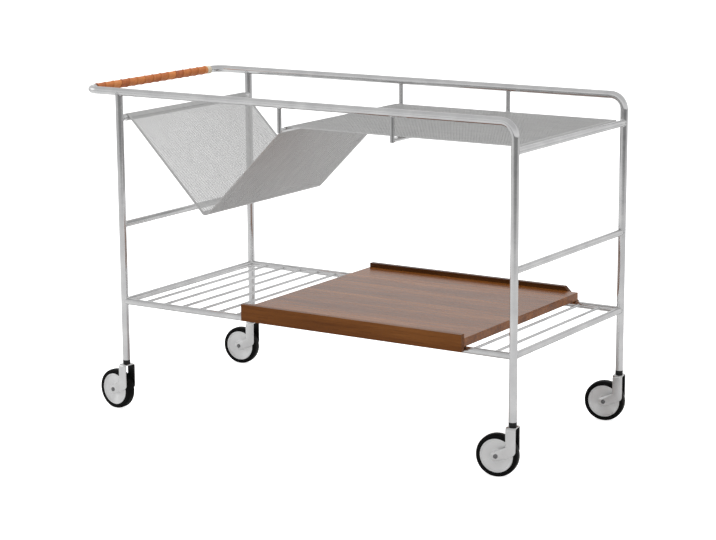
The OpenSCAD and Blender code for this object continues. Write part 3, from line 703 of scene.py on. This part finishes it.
def fork_shell():
    """The fork: a flat strap bent to a U over the wheel, with cheeks that turn back to the axle. At each
    station two edge points are joined by a flat section with eased corners, and the stations run from
    one round eye over the knee, up the cheek, round the crown and down the other side. The second
    surface is a thin black sheet on its inner face: painted shade, where the wheel shades the cheeks."""
    arm = AXLE_AT[[0, 2]] - [0, KNEE_Z]
    arm_a = np.arctan2(arm[1], arm[0])
    down, up = np.array([np.cos(arm_a), np.sin(arm_a)]), np.array([np.sin(arm_a), -np.cos(arm_a)])
    eye, knee = AXLE_AT[[0, 2]], np.array([0, KNEE_Z])
    tip = np.radians(np.linspace(82, 0, 13))[:, None]
    back_edge = eye + STRAP_HALF * (np.sin(tip) * down + np.cos(tip) * up)
    front_edge = eye + STRAP_HALF * (np.sin(tip) * down - np.cos(tip) * up)
    corner = knee + STRAP_HALF * up - STRAP_HALF * (1 + up[0]) / np.cos(arm_a) * down
    swing = np.linspace(arm_a + np.pi / 2, 0, 9)
    knee_front = knee + STRAP_HALF * np.column_stack([np.cos(swing), np.sin(swing)])
    knee_back = corner + [0, 1] * np.linspace(0, 0.0006, 9)[:, None]
    rise = np.array([KNEE_Z + STRAP_HALF, CROWN_Z - CROWN_R - 0.006, CROWN_Z - CROWN_R - 0.0004])
    back_edge = np.vstack([back_edge, knee_back, np.column_stack([rise * 0 - STRAP_HALF, rise])])
    front_edge = np.vstack([front_edge, knee_front, np.column_stack([rise * 0 + STRAP_HALF, rise])])
    wall_y = FORK_OUT / 2 - FORK_T / 2
    cheek = [np.column_stack([e[:, 0], np.full(len(e), -wall_y), e[:, 1]]) for e in (back_edge, front_edge)]
    facing = np.tile([0, -1.0, 0], (len(back_edge), 1))
    turn = np.radians(np.linspace(180, 90, 11))[:, None]
    out = np.cos(turn) * Y + np.sin(turn) * Z
    crown = [0, -(FORK_OUT / 2 - CROWN_R), CROWN_Z - CROWN_R] + (CROWN_R - FORK_T / 2) * out
    middle = np.array([[0, y, CROWN_Z - FORK_T / 2] for y in (-0.0072, -0.0050)])
    crown, out = np.vstack([crown, middle]), np.vstack([out, [Z, Z]])
    back_edge = np.vstack([cheek[0], crown - STRAP_HALF * X])
    front_edge = np.vstack([cheek[1], crown + STRAP_HALF * X])
    facing = np.vstack([facing, out])
    back_edge, front_edge, facing = (np.vstack([e, (e * [1, -1, 1])[::-1]])
                                     for e in (back_edge, front_edge, facing))
    way = front_edge - back_edge
    way /= np.linalg.norm(way, axis=1, keepdims=True)
    half, ease = FORK_T / 2, 0.0005
    # The section's corners: share of the way to the front edge, distance in from that edge, height
    loop = [(0, ease, half), (1, ease, half), (1, ease * 0.3, half - ease * 0.3), (1, 0, half - ease),
            (1, 0, ease - half), (1, ease * 0.3, ease * 0.3 - half), (1, ease, -half), (0, ease, -half),
            (0, ease * 0.3, ease * 0.3 - half), (0, 0, ease - half), (0, 0, half - ease),
            (0, ease * 0.3, half - ease * 0.3)]
    # A thin black sheet just inside the inner face: painted shade.
    shade_lining = [(0, 0.0006, -half - 0.00001), (1, 0.0006, -half - 0.00001),
              (1, 0.0006, -half - 0.00015), (0, 0.0006, -half - 0.00015)]

    def carried(section):
        """The closed surface of one section that is carried through the stations."""
        points = np.stack([(front_edge - inset * way if share else back_edge + inset * way)
                           + height * facing for share, inset, height in section], 1)
        count, last = len(section), (len(points) - 1) * len(section)
        return shell(points, grid_faces(len(points), count, False, True),
                     np.arange(count)[None], last + np.arange(count)[None, ::-1])

    return carried(loop), carried(shade_lining)


fork_chrome = chrome_finish("chrome_fork", colour(206, 206, 206), colour(224, 224, 224), 0.08, 0.17)
pin_steel = finish_of(
    "axle_steel",
    lambda m: ramp(m, noise(m, 700, 3), [(0.3, colour(100, 100, 101)), (0.7, colour(128, 128, 129))]),
    lambda m: spread(m, noise(m, 1500, 3), 0.22, 0.4), lambda m: noise(m, 1800, 2), 0.00003, Metallic=1.0)
black_plastic = finish_of(
    "collar_plastic",
    lambda m: ramp(m, noise(m, 400, 3), [(0.3, colour(14, 14, 14)), (0.7, colour(22, 22, 22))]),
    lambda m: spread(m, noise(m, 900, 3), 0.34, 0.5), lambda m: noise(m, 2600, 2), 0.00004,
    Specular_IOR_Level=0.3)
bush_plastic = finish_of(
    "bush_plastic",
    lambda m: ramp(m, noise(m, 500, 3), [(0.3, colour(150, 150, 150)), (0.7, colour(172, 172, 170))]),
    lambda m: spread(m, noise(m, 900, 3), 0.4, 0.55), lambda m: noise(m, 2600, 2), 0.00003)
rubber = finish_of(
    "tyre_rubber",
    lambda m: ramp(m, noise(m, 240, 5, rough=0.65), [(0.3, colour(9, 9, 9)), (0.7, colour(17, 17, 17))]),
    lambda m: spread(m, noise(m, 420, 4), 0.30, 0.44, 0.3, 0.7), lambda m: noise(m, 1500, 3), 0.00005,
    IOR=1.15)


def spun_rings(mat):
    """Fine grooves from spinning: noise that changes along the section and hardly round the axis."""
    return noise(mat, 1.0, 3, stretch=(2.0, 1100.0, 1.0), uv=True, rough=0.7)


spun = finish_of(
    "spun_aluminium",
    lambda m: ramp(m, spun_rings(m), [(0.25, colour(232, 232, 232)), (0.75, colour(246, 246, 246))]),
    lambda m: spread(m, spun_rings(m), 0.44, 0.54, 0.3, 0.7), spun_rings, 0.00002,
    Metallic=1.0, Anisotropic=0.9, Anisotropic_Rotation=0.25)
spun_shader = spun.node_tree.nodes["Principled BSDF"]
spun.node_tree.links.new(
    node(spun, "Tangent", direction_type="UV_MAP", uv_map="UVMap").outputs["Tangent"],
    spun_shader.inputs["Tangent"])


def at_leg(made, x, y, angle):
    """A caster's surface, drawn with its stem on the Z axis, turned to its rest angle under its leg."""
    points, faces, uv = made
    c, s = np.cos(np.radians(angle)), np.sin(np.radians(angle))
    return points @ np.array([[c, s, 0], [-s, c, 0], [0, 0, 1]]) + [x, y, 0], faces, uv


AXLE_R, HEAD_R, HEAD_H = 0.003, 0.004, 0.0019
axle_outline = eased([(0.0001, -FORK_OUT / 2), (AXLE_R - 0.0001, -FORK_OUT / 2),
                      (AXLE_R - 0.0001, FORK_OUT / 2), (0.0001, FORK_OUT / 2)], 0.0002, 3)
axle = [turned(axle_outline, AXLE_AT, Y, 48)]
axle += [domed(HEAD_R, HEAD_H, AXLE_AT + [0, s * FORK_OUT / 2, 0], [0, s, 0]) for s in (-1, 1)]
strap_fork, fork_shade_sheet = fork_shell()
caster_parts = (
    ("insert", "frame", "black_collar", black_plastic, [turned(insert_outline, np.zeros(3), Z, 64)]),
    ("stem", "swivel", "pin_steel", pin_steel, [turned(stem_outline, np.zeros(3), Z, 48)]),
    ("fork", "swivel", "chrome_fork", fork_chrome, [strap_fork]),
    # The fork's inner face is covered with black as painted shade, where the wheel shades it.
    ("fork_inside", "swivel", "chrome_fork", black_plastic, [fork_shade_sheet]),
    ("axle", "swivel", "pin_steel", pin_steel, axle),
    ("disc", "wheel", "wheel_disc", spun, [turned(disc_outline, AXLE_AT, Y, 128)]),
    ("bush", "wheel", "bush_plastic", bush_plastic, [turned(bush_outline, AXLE_AT, Y, 64)]),
    ("tyre", "wheel", "black_tyre", rubber, [turned(tyre_outline, AXLE_AT, Y, 128)]))
for corner, x, y, angle in (("front_left", LEFT_X, -LEG_Y, -7), ("back_left", LEFT_X, LEG_Y, 5),
                            ("front_right", RIGHT_X, -LEG_Y, 10), ("back_right", RIGHT_X, LEG_Y, 10)):
    for part, body, slot, material, made in caster_parts:
        make_piece(f"caster_{part}_{corner}", [at_leg(one, x, y, angle) for one in made], material,
                   body if body == "frame" else f"{body}_{corner}",
                   [f"{part.removesuffix('_inside')}_{corner}"])


# The studio. The trolley stands on pale paper under a broad ceiling light, which isn't
# mirrored in the metal. The paper ends two metres out to the front and the right, and the
# dark floor beyond it draws the dark lines down the upper parts of the legs.
floor_mesh = bpy.data.meshes.new("floor")
floor_mesh.from_pydata([(-14, -14, 0), (14, -14, 0), (14, 14, 0), (-14, 14, 0)], [], [(0, 1, 2, 3)])
floor = bpy.data.objects.new("floor", floor_mesh)
bpy.context.scene.collection.objects.link(floor)


def floor_tone(mat):
    """White as the picture shows it, and for what the chrome reflects a tone that falls off from the
    paper to the dark floor with the way out to the front and the right."""
    place = node(mat, "TexCoord").outputs["Object"]
    away = node(mat, "VectorMath", {0: place, 1: (0.71, -0.71, 0)},
                operation="DOT_PRODUCT").outputs["Value"]
    paper = ramp(mat, spread(mat, away, 0, 1, 1, 4),
                 [(0.36, colour(238, 238, 238)), (0.46, colour(212, 212, 212)),
                  (0.60, colour(184, 184, 184)), (0.86, colour(150, 150, 150))])
    seen = node(mat, "LightPath").outputs["Is Camera Ray"]
    return node(mat, "Mix", {"Factor": seen, "A": paper, "B": colour(248, 248, 248)},
                data_type="RGBA").outputs["Result"]


paper = finish_of("floor_paper", floor_tone, lambda m: spread(m, noise(m, 8, 2), 0.85, 0.95))
paper_shader = paper.node_tree.nodes["Principled BSDF"]
paper_shader.inputs["Emission Color"].default_value = (1, 1, 1, 1)
paper.node_tree.links.new(
    spread(paper, node(paper, "LightPath").outputs["Is Camera Ray"], 0, 0.80),
    paper_shader.inputs["Emission Strength"])
floor_mesh.materials.append(paper)

world = bpy.data.worlds.new("studio")
bpy.context.scene.world = world
world.use_nodes = True
wall = world.node_tree.nodes["Background"]
direction = node(world, "TexCoord").outputs["Generated"]
height = node(world, "SeparateXYZ", {0: direction}).outputs["Z"]
room = ramp(world, height, [(0.0, (0.84, 0.84, 0.84, 1)), (0.25, (0.82, 0.82, 0.82, 1)),
                            (0.60, (0.66, 0.66, 0.66, 1))])
seen = node(world, "Mix", {"Factor": node(world, "LightPath").outputs["Is Camera Ray"], "A": room,
                           "B": (1.0, 1.0, 1.0, 1.0)}, data_type="RGBA")
world.node_tree.links.new(seen.outputs["Result"], wall.inputs["Color"])

for name, at, size, power, mirrored_too in (("ceiling_box", (-0.3, 0.1, 2.7), 3.6, 35.0, False),
                                            ("left_box", (-2.9, -1.2, 1.3), 2.0, 5.0, True)):
    lamp = bpy.data.lights.new(name, "AREA")
    lamp.shape, lamp.size, lamp.energy = "DISK", size, power
    box = bpy.data.objects.new(name, lamp)
    box.location = at
    box.visible_glossy = mirrored_too
    box.rotation_mode = "QUATERNION"
    box.rotation_quaternion = (Vector((0, 0, 0.3)) - Vector(at)).to_track_quat("-Z", "Y")
    bpy.context.scene.collection.objects.link(box)
